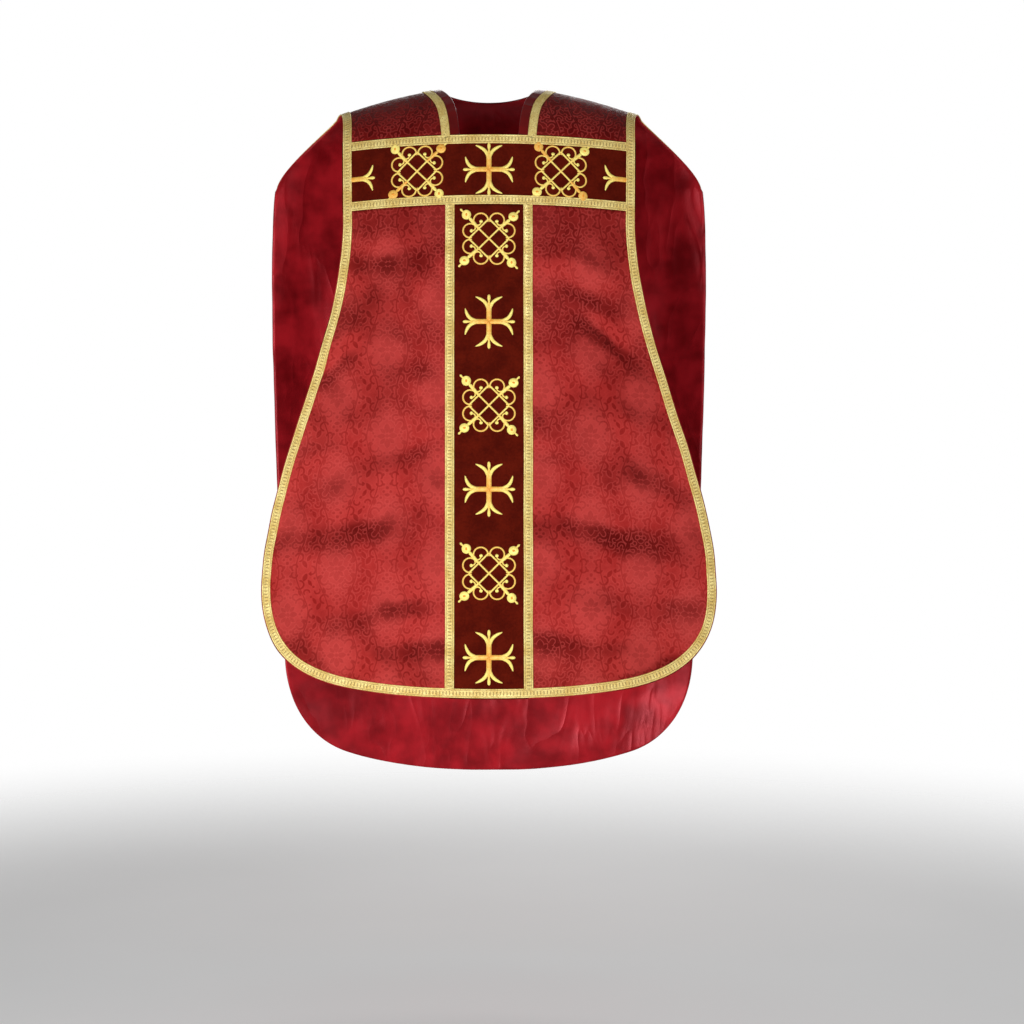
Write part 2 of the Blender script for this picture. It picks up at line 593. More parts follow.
def figureGroup():
    # the plane folded into one mirrored half-drop repeat; the deepest shape at each point gives the
    # figure, a narrow band just outside it gives the light line round the figure, and two cosines
    # give the field, which is brighter inside each medallion of the design
    tree, given, out = newGroup("Figure", [("Cloth", point3, None)], [("Mask", number), ("Outline", number), ("Field", number)])
    stray = place(tree, "ShaderNodeTexNoise", {"Vector": given["Cloth"], "Scale": 55.0, "Detail": 1.0}).outputs["Color"]
    stray = place(tree, "ShaderNodeVectorMath", {0: stray, 1: (0.5, 0.5, 0.5)}, operation="SUBTRACT").outputs[0]
    scaled = place(tree, "ShaderNodeVectorMath", {0: given["Cloth"], "Scale": 1 / mm}, operation="SCALE").outputs[0]
    bent3 = place(tree, "ShaderNodeVectorMath", {0: stray, "Scale": 4 * figure["wander"]}, operation="SCALE").outputs[0]
    cloth = place(tree, "ShaderNodeVectorMath", {0: scaled, 1: bent3}, operation="ADD").outputs[0]
    parts = place(tree, "ShaderNodeSeparateXYZ", {0: cloth}).outputs
    wide, tall = 2 * figure["column"], figure["repeat"]
    u = maths(tree, "DIVIDE", parts[0], wide)
    column = maths(tree, "FLOOR", maths(tree, "ADD", u, 0.5))
    x = maths(tree, "MULTIPLY", maths(tree, "ABSOLUTE", maths(tree, "SUBTRACT", u, column)), wide)
    drop = maths(tree, "MULTIPLY", maths(tree, "PINGPONG", column, 1.0), 0.5)
    v = maths(tree, "ADD", maths(tree, "DIVIDE", parts[1], tall), drop)
    y = maths(tree, "MULTIPLY", maths(tree, "SUBTRACT", maths(tree, "FRACT", v), 0.5), tall)
    at = place(tree, "ShaderNodeCombineXYZ", {0: x, 1: y}).outputs[0]
    depths = [useGroup(tree, spot, Point=at, Centre=(*c, 0), Radius=r)[0] for c, r in figure["spots"]]
    for c, towards, radius, width, opening in figure["scrolls"]:
        depths.append(
            useGroup(tree, scroll, Point=at, Centre=(*c, 0), Towards=towards, Radius=radius, Width=width,
                     Opening=opening)[0]
        )
    for c, turn, length, width in figure["leaves"]:
        depths.append(useGroup(tree, leaf, Point=at, Centre=(*c, 0), Turn=turn, Length=length, Width=width)[0])
    mean, sway, half = figure["vine"]
    swing = maths(tree, "COSINE", maths(tree, "MULTIPLY", y, 2 * math.pi / tall))
    off = maths(tree, "ABSOLUTE", maths(tree, "SUBTRACT", x, maths(tree, "MULTIPLY_ADD", swing, sway, mean)))
    depths.append(maths(tree, "SUBTRACT", half, off))
    total = depths[0]
    for depth in depths[1:]:
        total = maths(tree, "MAXIMUM", total, depth)
    tree.links.new(ramp(tree, total, -0.45, 0.45), out["Mask"])
    crest = maths(tree, "COSINE", maths(tree, "MULTIPLY", x, 2 * math.pi / wide))
    tree.links.new(ramp(tree, maths(tree, "ADD", crest, swing), -0.9, 1.5), out["Field"])
    band = maths(tree, "ABSOLUTE", maths(tree, "ADD", total, 1.35))
    tree.links.new(ramp(tree, band, 1.2, 0.35), out["Outline"])
    return tree


def creaseGroup():
    # thin soft ridges in cloth: noise folded about its middle value and sharpened
    tree, given, out = newGroup("Crease", [("Place", point3, None), ("Sharp", number, 3.0)], [("Height", number)])
    noise = place(tree, "ShaderNodeTexNoise", {"Vector": given["Place"], "Scale": 1.0, "Detail": 2.0, "Distortion": 0.5})
    off = maths(tree, "ABSOLUTE", maths(tree, "MULTIPLY_ADD", noise.outputs["Fac"], 4.0, -2.0))
    near = maths(tree, "SUBTRACT", 1.0, maths(tree, "MINIMUM", off, 1.0))
    tree.links.new(maths(tree, "POWER", near, given["Sharp"]), out["Height"])
    return tree


weave, mottle, spot, scroll, leaf = weaveGroup(), mottleGroup(), spotGroup(), scrollGroup(), leafGroup()
figured, crease = figureGroup(), creaseGroup()


def newMaterial(name):
    material = bpy.data.materials.new(name)
    material.use_nodes = True
    tree = material.node_tree
    shader = next(node for node in tree.nodes if node.type == "BSDF_PRINCIPLED")
    cloth = place(tree, "ShaderNodeUVMap", uv_map="Cloth").outputs[0]
    return material, tree, shader, cloth


def finishMaterial(tree, shader, colour, roughness, height, strength, distance):
    tree.links.new(colour, shader.inputs["Base Color"])
    if isinstance(roughness, bpy.types.NodeSocket):
        tree.links.new(roughness, shader.inputs["Roughness"])
    else:
        shader.inputs["Roughness"].default_value = roughness
    bump = place(tree, "ShaderNodeBump", {"Height": height, "Strength": strength, "Distance": distance})
    tree.links.new(bump.outputs[0], shader.inputs["Normal"])


def linear(r, g, b):
    # a display colour, 0 to 255, as the shader's linear one
    return (*[c / 255 / 12.92 if c <= 10 else ((c / 255 + 0.055) / 1.055) ** 2.4 for c in (r, g, b)], 1.0)


damaskLook = {
    "ground": linear(174, 50, 47), "groundDark": linear(154, 36, 34), "figure": linear(128, 19, 17),
    "outline": linear(196, 74, 70), "roughness": (0.50, 0.34), "thread": 0.55 * mm,
    "lean": (-0.04, 0.24), "leaning": linear(158, 106, 104), "upward": (0.30, 0.75),
}


def damaskMaterial(name, look):
    # satin ground and a darker, glossier figure with a light line round it, both drifting in
    # shade; the satin's lustre goes, and its colour deepens, where the cloth leans back
    material, tree, shader, cloth = newMaterial(name)
    drift = useGroup(tree, mottle, Place=cloth, Size=0.085, Fine=0.010)[0]
    broad = useGroup(tree, mottle, Place=cloth, Size=0.16, Fine=0.05)[0]
    woven = useGroup(tree, figured, Cloth=cloth)
    mask = woven["Mask"]
    ground = mixed(tree, drift, look["groundDark"], look["ground"])
    colour = mixed(tree, maths(tree, "MULTIPLY", mask, ramp(tree, broad, 0.0, 1.0, 0.30, 0.80)), ground, look["figure"])
    lean = place(tree, "ShaderNodeAttribute", attribute_name="Lean").outputs["Fac"]
    slight, full = ramp(tree, lean, *look["lean"]), ramp(tree, lean, *look["upward"])
    colour = mixed(tree, slight, colour, look["leaning"], "MULTIPLY")
    colour = mixed(tree, maths(tree, "MULTIPLY", full, 0.30), colour, look["leaning"], "MULTIPLY")
    patchy = maths(tree, "MULTIPLY_ADD", slight, 0.10, ramp(tree, broad, 0.0, 1.0, 0.32, 0.03))
    colour = mixed(tree, maths(tree, "MULTIPLY", woven["Outline"], patchy), colour, look["outline"])
    glow = maths(tree, "MULTIPLY", woven["Field"], ramp(tree, slight, 0.0, 1.0, 0.34, 0.06))
    colour = mixed(tree, glow, colour, look["outline"])
    rough = ramp(tree, mask, 0.0, 1.0, *look["roughness"])
    threads = useGroup(tree, weave, Cloth=cloth, Thread=look["thread"])[0]
    height = maths(tree, "MULTIPLY_ADD", mask, -0.9, maths(tree, "MULTIPLY", threads, 0.3))
    wrinkles = place(tree, "ShaderNodeMapping", {"Vector": cloth, "Scale": (13.0, 24.0, 1.0)}).outputs[0]
    folds = useGroup(tree, crease, Place=wrinkles, Sharp=2.0)[0]
    height = maths(tree, "MULTIPLY_ADD", folds, 4.0, height)
    finishMaterial(tree, shader, colour, rough, height, 0.55, 0.3 * mm)
    shader.inputs["Specular IOR Level"].default_value = 0.2
    shader.inputs["Specular Tint"].default_value = linear(255, 130, 120)
    return material


velvetLook = {"pile": linear(90, 20, 8), "deep": linear(70, 12, 5), "sheen": linear(150, 50, 40)}


def velvetMaterial():
    # short pile: dark, mottled where it leans, with a soft light rim
    material, tree, shader, cloth = newMaterial("DarkRedVelvet")
    lean = useGroup(tree, mottle, Place=cloth, Size=0.030, Fine=0.004)[0]
    colour = mixed(tree, lean, velvetLook["deep"], velvetLook["pile"])
    pile = place(tree, "ShaderNodeTexNoise", {"Vector": cloth, "Scale": 1800.0, "Detail": 2.0}).outputs["Fac"]
    finishMaterial(tree, shader, colour, 0.92, pile, 0.6, 0.5 * mm)
    shader.inputs["Sheen Weight"].default_value = 0.12
    shader.inputs["Sheen Roughness"].default_value = 0.3
    shader.inputs["Sheen Tint"].default_value = velvetLook["sheen"]
    shader.inputs["Specular IOR Level"].default_value = 0.03
    return material


satinLook = {"light": linear(168, 25, 34), "dark": linear(112, 10, 16)}
facingLook = {"light": linear(112, 20, 18), "dark": linear(84, 10, 10)}


def satinMaterial(name, look):
    # smooth satin with thin creases that run aslant
    material, tree, shader, cloth = newMaterial(name)
    drift = useGroup(tree, mottle, Place=cloth, Size=0.10, Fine=0.03)[0]
    colour = mixed(tree, drift, look["dark"], look["light"])
    slanted = place(tree, "ShaderNodeMapping",
                    {"Vector": cloth, "Rotation": (0, 0, 0.5), "Scale": (17.0, 6.0, 1.0)}).outputs[0]
    folds = useGroup(tree, crease, Place=slanted, Sharp=2.2)[0]
    threads = useGroup(tree, weave, Cloth=cloth, Thread=0.4 * mm)[0]
    height = maths(tree, "MULTIPLY_ADD", threads, 0.01, folds)
    finishMaterial(tree, shader, colour, 0.30, height, 0.42, 2.8 * mm)
    shader.inputs["Anisotropic"].default_value = 0.5
    shader.inputs["Specular Tint"].default_value = linear(255, 120, 130)
    return material


def canvasMaterial():
    # unbleached plain weave with slubs
    material, tree, shader, cloth = newMaterial("Canvas")
    slub = useGroup(tree, mottle, Place=cloth, Size=0.02, Fine=0.003)[0]
    colour = mixed(tree, slub, linear(186, 172, 140), linear(214, 202, 172))
    threads = useGroup(tree, weave, Cloth=cloth, Thread=1.1 * mm)[0]
    finishMaterial(tree, shader, colour, 0.9, threads, 0.6, 0.3 * mm)
    return material


braidLook = {
    "light": linear(252, 232, 150), "mid": linear(222, 188, 100), "deep": linear(120, 84, 36),
    "picot": 5.2 * mm,
}


def braidMaterial():
    # woven metal braid: slanting passes that meet at the middle, and a corded edge each side
    material, tree, shader, cloth = newMaterial("GoldBraid")
    parts = place(tree, "ShaderNodeSeparateXYZ", {0: cloth}).outputs
    across = maths(tree, "ABSOLUTE", parts[1])
    slant = maths(tree, "ADD", parts[0], maths(tree, "MULTIPLY", across, 0.8))
    passes = maths(tree, "SINE", maths(tree, "MULTIPLY", slant, 2 * math.pi / (1.3 * mm)))
    knot = maths(tree, "SINE", maths(tree, "MULTIPLY", parts[0], 2 * math.pi / braidLook["picot"]))
    middle = ramp(tree, across, 3.6 * mm, 2.2 * mm)
    dots = maths(tree, "MULTIPLY", ramp(tree, knot, 0.1, 0.8), middle)
    worn = useGroup(tree, mottle, Place=cloth, Size=0.03, Fine=0.004)[0]
    base = mixed(tree, worn, braidLook["mid"], braidLook["light"])
    colour = mixed(tree, maths(tree, "MULTIPLY", dots, 0.62), base, braidLook["deep"])
    flecks = place(tree, "ShaderNodeTexNoise", {"Vector": cloth, "Scale": 620.0, "Detail": 2.0}).outputs["Fac"]
    colour = mixed(tree, ramp(tree, flecks, 0.52, 0.70, 0.0, 0.75), colour, braidLook["deep"])
    groove = ramp(tree, maths(tree, "ABSOLUTE", maths(tree, "SUBTRACT", across, 4.6 * mm)), 0.8 * mm, 0.2 * mm)
    colour = mixed(tree, maths(tree, "MULTIPLY", groove, 0.5), colour, braidLook["deep"])
    height = maths(tree, "MULTIPLY_ADD", passes, 0.35, maths(tree, "MULTIPLY", dots, -0.6))
    rough = ramp(tree, worn, 0.0, 1.0, 0.48, 0.34)
    finishMaterial(tree, shader, colour, rough, height, 0.8, 0.35 * mm)
    shader.inputs["Metallic"].default_value = 0.25
    return material


threadLook = {"pale": linear(255, 238, 128), "deep": linear(238, 152, 40), "stitch": 0.42 * mm}


def threadMaterial():
    # satin stitch: fine threads laid across each stroke, pale at its tips and deep at its root
    material, tree, shader, cloth = newMaterial("GoldThread")
    parts = place(tree, "ShaderNodeSeparateXYZ", {0: cloth}).outputs
    lines = maths(tree, "SINE", maths(tree, "MULTIPLY", parts[0], 2 * math.pi / threadLook["stitch"]))
    tone = place(tree, "ShaderNodeAttribute", attribute_name="Tone").outputs["Fac"]
    varied = useGroup(tree, mottle, Place=cloth, Size=0.006, Fine=0.002)[0]
    pale = maths(tree, "MULTIPLY_ADD", maths(tree, "SUBTRACT", varied, 0.5), 0.3, tone)
    colour = mixed(tree, place(tree, "ShaderNodeClamp", {0: pale}).outputs[0], threadLook["deep"], threadLook["pale"])
    finishMaterial(tree, shader, colour, 0.42, lines, 0.4, 0.16 * mm)
    shader.inputs["Metallic"].default_value = 0.12
    return material


damask = damaskMaterial("RedDamask", damaskLook)
velvet, canvas = velvetMaterial(), canvasMaterial()
satin, facingSatin = satinMaterial("CrimsonSatin", satinLook), satinMaterial("DarkSatin", facingLook)
braidGold, threadGold = braidMaterial(), threadMaterial()
print("materials made")

# how each piece hangs
hang = {"frontStart": -0.050, "frontEnd": -0.140, "backStart": -0.100, "backEnd": -0.205}


def settle(piece, side, nodes):
    # pieces near a fold bend with it; the others ride on the body that they hang on
    z = np.array([corner[2] for corner in piece.bound_box])
    start, end = (0, 0, hang[side + "Start"]), (0, 0, hang[side + "End"])
    if z.max() < end[2] - 6 * mm:
        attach(piece, side)
    elif z.min() > start[2] + 6 * mm:
        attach(piece, "shoulders")
    else:
        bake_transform(piece)
    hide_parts(*nodes)
    return piece


def cornerOf(path, x):
    # index where a side's run turns below its widest point and comes back in past x
    widest = int(np.argmax(path[:, 0]))
    return widest + int(np.argmax(path[widest:, 0] < x))


def upTo(path, index):
    return path[: index + 1]


def fromOn(path, index):
    return path[index:]


def untilX(path, x):
    # the run from its start in to x, cut there
    keep = path[:, 0] > x
    last = path[keep]
    after = path[len(last)]
    share = (last[-1, 0] - x) / (last[-1, 0] - after[0])
    return np.concatenate([last, [last[-1] + share * (after - last[-1])]])


def line(start, end, count=40):
    return np.linspace(start, end, count)


rim = 1.6 * mm  # the sheets stop this far inside the outline, where the turned edge takes over
grid = {"across": 5.0 * mm, "down": 4.6 * mm}


def cells(length, key):
    return max(4, int(round(length / grid[key])))


barLow, seamX = garment["barHeight"], garment["columnSeam"]
frontIn = inward(frontSide[::-1], rim)[::-1]
backIn = inward(backSide[::-1], rim)[::-1]
frontCorner, backCorner = cornerOf(frontIn, 0.315), cornerOf(backIn, 0.300)
capeIn, armIn = cape - np.array([rim, 0]), frontArm - np.array([rim, 0])
capeIn[0, 1], armIn[-1, 1] = ridgeT("back", capeIn[:1, 0])[0], ridgeT("front", armIn[-1:, 0])[0]


def level(path, t):
    # the run from t downwards, cut there
    keep = path[path[:, 1] > t]
    before = path[len(path) - len(keep) - 1]
    share = (t - before[1]) / (keep[0, 1] - before[1])
    return np.concatenate([[before + share * (keep[0] - before)], keep])


def above(path, t):
    keep = path[path[:, 1] < t]
    after = path[len(keep)]
    share = (t - keep[-1, 1]) / (after[1] - keep[-1, 1])
    return np.concatenate([keep, [keep[-1] + share * (after - keep[-1])]])


made = {}


def frontSheets():
    top = line((-frontIn[0, 0], 0), (frontIn[0, 0], 0))
    bottom = join(mirrored(fromOn(frontIn, frontCorner)), fromOn(frontIn, frontCorner)[::-1])
    side = upTo(frontIn, frontCorner)
    rows, columns = cells(0.87, "down"), cells(0.60, "across")
    whole = coons(top, bottom, mirrored(side), side, rows, columns)
    made["frontLining"] = sheetPiece("front_lining_satin", "front", whole, layers["lining"], 0.5 * mm, satin)
    inner = whole * np.array([0.985, 0.992]) + np.array([0, 2 * mm])
    made["frontCanvas"] = sheetPiece("front_canvas", "front", inner, layers["canvas"], 0.8 * mm, canvas)
    barEnd = above(frontIn, barLow)
    bar = coons(top, line((-barEnd[-1, 0], barLow), (barEnd[-1, 0], barLow)), mirrored(barEnd), barEnd,
                cells(barLow, "down"), cells(0.45, "across"))
    made["crossbar"] = sheetPiece("crossbar_velvet", "front", bar, layers["face"], 0.8 * mm, velvet)
    hemAt = untilX(fromOn(frontIn, frontCorner), seamX)
    low = hemAt[-1, 1]
    hemMiddle = frontIn[frontIn[:, 0] < seamX + 1e-9]
    hemMiddle = hemMiddle[hemMiddle[:, 1] > 0.5]
    bottomLine = np.concatenate([mirrored(np.concatenate([hemAt[-1:], hemMiddle])), hemMiddle[::-1][1:], hemAt[-1:]])
    column = coons(line((-seamX, barLow), (seamX, barLow)), bottomLine, line((-seamX, barLow), (-seamX, low)),
                   line((seamX, barLow), (seamX, low)), cells(0.77, "down"), cells(0.12, "across"))
    made["frontColumn"] = sheetPiece("front_column_velvet", "front", column, layers["face"], 0.8 * mm, velvet)
    outer = level(frontIn, barLow)
    widest = len(outer) - (len(frontIn) - frontCorner)
    for name, flip in (("left", 1), ("right", -1)):
        panel = coons(line((seamX, barLow), outer[0]), hemAt[::-1], line((seamX, barLow), (seamX, low)),
                      outer[: widest + 1], cells(0.77, "down"), cells(0.27, "across"))
        panel = panel * np.array([flip, 1])
        made["frontPanel" + name] = sheetPiece(
            f"front_damask_{name}", "front", panel, layers["face"], 0.8 * mm, damask)


def yokeSheets():
    for name, flip in (("left", 1), ("right", -1)):
        yoke = coons(ridgePath("front", ridge["neck"], ridge["tip"] - rim), line((frontNeck[0, 0], 0), (armIn[0, 0], 0)),
                     frontNeck[::-1], armIn[::-1], cells(0.19, "down"), cells(0.17, "across"))
        yoke = yoke * np.array([flip, 1])
        for label, height, thick, material in (
            ("damask", "face", 0.8, damask), ("canvas", "canvas", 0.8, canvas), ("lining", "lining", 0.5, satin),
        ):
            made[f"yoke_{label}_{name}"] = sheetPiece(
                f"front_yoke_{label}_{name}", "front", yoke, layers[height], thick * mm, material)


def backSheets():
    run = join(capeIn, backIn)
    corner = backCorner + len(capeIn) - 1
    top = ridgePath("back", ridge["neck"], ridge["tip"] - rim)
    bottom = join(mirrored(fromOn(run, corner)), fromOn(run, corner)[::-1])
    wholeTop = join(mirrored(top)[::-1], mirrored(backNeck), backNeck[::-1], top)
    rows, columns = cells(1.20, "down"), cells(0.66, "across")
    whole = coons(wholeTop, bottom, mirrored(upTo(run, corner)), upTo(run, corner), rows, columns)
    made["backLining"] = sheetPiece("back_lining_satin", "back", whole, layers["lining"], 0.5 * mm, satin)
    made["backCanvas"] = sheetPiece("back_canvas", "back", whole * np.array([0.985, 0.992]), layers["canvas"], 0.8 * mm, canvas)
    neckAt = untilX(backNeck, seamX)
    neckRest = backNeck[len(neckAt) - 1 :]
    hemAt = untilX(fromOn(run, corner), seamX)
    hemMiddle = fromOn(run, corner)[len(hemAt) - 1 :]
    topLine = join(mirrored(np.concatenate([neckAt[-1:], neckRest])), np.concatenate([neckAt[-1:], neckRest])[::-1])
    lowLine = join(mirrored(np.concatenate([hemAt[-1:], hemMiddle])), np.concatenate([hemAt[-1:], hemMiddle])[::-1])
    column = coons(topLine, lowLine, line(mirrored(neckAt[-1:])[0], mirrored(hemAt[-1:])[0]), line(neckAt[-1], hemAt[-1]),
                   cells(1.14, "down"), cells(0.12, "across"))
    made["backColumn"] = sheetPiece("back_column_velvet", "back", column, layers["face"], 0.8 * mm, velvet)
    inner = join(neckAt, line(neckAt[-1], hemAt[-1], 200))
    for name, flip in (("left", 1), ("right", -1)):
        panel = coons(top, hemAt[::-1], inner, upTo(run, corner), cells(1.20, "down"), cells(0.26, "across"))
        made["backPanel" + name] = sheetPiece(
            f"back_damask_{name}", "back", panel * np.array([flip, 1]), layers["face"], 0.8 * mm, damask)


# cross-section of the braid, from its left edge over the top and back below
braidProfile = [
    (-7.25, 3.15), (-7.1, 3.9), (-6.4, 4.5), (-5.6, 4.35), (-4.9, 3.95), (-4.2, 4.2), (-2.2, 4.35), (0, 4.4),
    (2.2, 4.35), (4.2, 4.2), (4.9, 3.95), (5.6, 4.35), (6.4, 4.5), (7.1, 3.9), (7.25, 3.15),
]
# cross-section of a turned edge: under the braid, round the rim and in behind the lining
turnProfile = [(8.0, 2.95), (1.6, 3.0), (0.9, 2.75), (0.25, 2.2), (0.1, 1.6), (0.3, 1.0), (1.0, 0.55), (2.2, 0.52), (9.0, 0.52),
               (9.0, 0.70), (2.2, 0.75), (1.3, 1.1), (0.9, 1.6), (1.1, 2.3), (1.6, 2.75), (8.0, 2.85)]


def flatter(profile, width):
    # the same cross-section narrowed to a width in millimetres
    return [(a * width / 14.5, h) for a, h in profile]


def braids():
    half = garment["braidWidth"] / 2
    step = 3.0 * mm
    front = join(mirrored(frontArm[::-1]), mirrored(frontSide), frontSide[::-1], frontArm)
    back = join(mirrored(cape), mirrored(backSide), backSide[::-1], cape[::-1])
    for side, rimPath, length, label in (("front", front, 2.35, "front"), ("back", back, 2.75, "back")):
        path = spaced(rimPath, int(length / step))
        left = framesAlong(side, path)
        inside = path + left * half
        made[label + "Edge"] = ribbonPiece(
            f"{label}_edge_braid_gold", side, inside, braidProfile, braidGold, ("start", "end"))
        made[label + "Turn"] = ribbonPiece(f"{label}_turned_edge", side, path, turnProfile, damask, ("start", "end"))
    endX = frontSide[0, 0] - garment["braidWidth"] + 0.5 * mm
    for name, t in (("top", half + 0.8 * mm), ("bottom", barLow - half)):
        path = spaced(line((-endX, t), (endX, t)), int(0.43 / step))
        made["bar" + name] = ribbonPiece(f"crossbar_{name}_braid_gold", "front", path, braidProfile, braidGold)
    x = garment["columnHalf"] - half
    low = untilX(fromOn(frontIn, frontCorner), x)[-1, 1] - garment["braidWidth"] + 0.5 * mm
    run = join(capeIn, backIn)
    backLow = untilX(fromOn(run, backCorner + len(capeIn) - 1), x)[-1, 1] - garment["braidWidth"] + 0.5 * mm
    backTop = untilX(backNeck, x)[-1, 1] + 0.030
    for name, flip in (("left", 1), ("right", -1)):
        path = spaced(line((flip * x, barLow - 0.5 * mm), (flip * x, low)), int(0.76 / step))
        made["column" + name] = ribbonPiece(f"front_column_braid_{name}_gold", "front", path, braidProfile, braidGold)
        path = spaced(line((flip * x, backTop), (flip * x, backLow)), int(1.1 / step))
        made["backColumn" + name] = ribbonPiece(f"back_column_braid_{name}_gold", "back", path, braidProfile, braidGold)




def neckPieces():
    # satin facing along the neckline, with the braid outside it, in front and behind
    facing = [(-0.3, 0.4), (-0.5, 2.6), (0.3, 3.5), (2.0, 3.7), (12.0, 3.7), (14.6, 3.6), (14.6, 3.1), (0.5, 3.0), (0.3, 0.4)]
    braid = [(a + 14.5 + 6.7, h + 0.1) for a, h in flatter(braidProfile, 13.5)]
    for name, flip in (("left", 1), ("right", -1)):
        path = spaced(frontNeck, 60) * np.array([flip, 1])
        # outwards is on the left of the run that goes down on the left side of the body
        path = path[::-1] if flip > 0 else path
        ends = ("start",) if flip > 0 else ("end",)
        made["neckFacing" + name] = ribbonPiece(f"front_neck_facing_{name}", "front", path, facing, facingSatin, ends)
        made["neckBraid" + name] = ribbonPiece(f"front_neck_braid_{name}_gold", "front", path, braid, braidGold, ends)
    path = spaced(join(backNeck, mirrored(backNeck)[::-1]), 120)
    made["neckFacingBack"] = ribbonPiece("back_neck_facing", "back", path, facing, facingSatin, ("start", "end"))
    made["neckBraidBack"] = ribbonPiece("back_neck_braid_gold", "back", path, braid, braidGold, ("start", "end"))


frontSheets()
yokeSheets()
backSheets()
print("sheets made")
braids()
neckPieces()
print("braids made")

# embroidery
stitchHeight = {"base": 2.7 * mm, "dome": 1.5 * mm}


def stroke(path, width, tone=(0.5, 0.5), each=1.2, dome=1.0):
    # a raised line of satin stitch: path in millimetres, width and tone spread evenly along it
    path = np.array(path, float)
    length = np.linalg.norm(np.diff(path, axis=0), axis=1).sum()
    count = max(6, int(length / each))
    path = spaced(path, count)
    share = np.linspace(0, 1, count)
    wide = np.interp(share, np.linspace(0, 1, len(width)), width) / 2
    ends = np.minimum(share, 1 - share) * length
    wide = wide * np.sqrt(np.clip(ends / (0.6 * np.maximum(wide, 0.4)), 0.02, 1))
    shade = np.interp(share, np.linspace(0, 1, len(tone)), tone)
    return path * mm, wide * mm, shade, dome


def disc(x, y, radius, tone, dome=1.15):
    # a round boss, as a short stroke whose width swells and closes
    half = radius * np.sin(np.linspace(0.06, math.pi - 0.06, 13))
    path = np.stack([x + radius * np.cos(np.linspace(math.pi, 0, 13)), np.full(13, float(y))], -1)
    return path * mm, half * mm, np.full(13, tone), dome


def bent(points, each=9):
    # smooth path through Bezier control points
    points = np.array(points, float)
    t = np.linspace(0, 1, each)
    return np.stack([bezier(list(points[:, k]), t) for k in (0, 1)], -1)


def turned(strokes, angle):
    c, s = math.cos(math.radians(angle)), math.sin(math.radians(angle))
    return [(path @ np.array([[c, s], [-s, c]]), *rest) for path, *rest in strokes]


def crossArm(tip, spread):
    # one arm, upwards: a bar that parts into two curling prongs round a short middle one
    prong = [(1.9, 17), (2.0, 27.5), (6.0, 33.5), (spread, tip - 3.6)]
    strokes = [stroke([(0, 0.5), (0, 27)], (8.4, 8.2, 8.6), (0.15, 0.55), dome=1.1)]
    for side in (1, -1):
        path = bent([(side * x, y) for x, y in prong], 16)
        strokes.append(stroke(path, (3.0, 5.6, 5.6, 4.6, 1.6), (0.55, 0.95, 1.0), dome=1.05))
    strokes.append(stroke([(0, 26), (0, tip)], (4.4, 3.4, 5.4, 4.0), (0.5, 1.0)))
    return strokes


def crossStrokes():
    strokes = []
    for angle, tip, spread in ((0, 42.6, 21), (180, 42.6, 21), (90, 40.5, 21), (-90, 40.5, 21)):
        strokes += turned(crossArm(tip, spread), angle)
    return strokes


def knotStrokes(deep=()):
    # a lattice of two diagonals and a diamond, eight curled loops, four bosses on stems; the
    # quarters named in deep are worked in the deeper thread
    strokes = []
    tip = 31.5
    for side in (1, -1):
        strokes.append(stroke([(-17 * side, -17), (17 * side, 17)], (3.1, 3.1), (0.85, 0.7, 0.85)))
    for quarter in range(4):
        tone = 0.30 if quarter in deep else 0.95
        part = [stroke([(0, tip), (tip, 0)], (3.1, 3.0, 3.1), (0.9, 0.7, 0.9))]
        part.append(stroke([(15, 15), (24, 23), (33, 30.5)], (3.6, 6.0, 5.0), (0.75 * tone, tone), dome=1.2))
        part.append(disc(38, 35, 7.6, tone, 1.35))
        part.append(disc(38, 35, 2.4, 0.0, 1.75))
        part.append(stroke([(42, 39.5), (47.5, 44.8)], (3.0, 3.2, 4.6), (0.8, 0.9)))
        for side in (1, -1):
            angles = np.radians(np.linspace(196, -24, 22))
            ring = np.stack([12.6 + 11.2 * np.cos(angles), 29.2 + 11.0 * np.sin(angles)], -1)
            curl = bent([ring[-1], (21.5, 20.5), (13.0, 18.5), (12.2, 26.5)], 10)
            loop = np.concatenate([ring, curl[1:]])
            loop = loop if side > 0 else loop * np.array([-1, 1])
            part.append(stroke(loop, (2.8, 3.0, 2.8, 2.7, 2.4), (0.65, 0.45, 0.6, 0.7)))
            part.append(disc(12.2 * side, 27.2, 2.7, 1.0, 1.2))
        strokes += turned(part, 90 * quarter)
    return strokes


def halfCrossStrokes(flip):
    return turned(crossArm(40.5, 21), 90 * flip)


domeShape = [(-1, 0.0), (-0.88, 0.5), (-0.5, 0.88), (0, 1.0), (0.5, 0.88), (0.88, 0.5), (1, 0.0)]


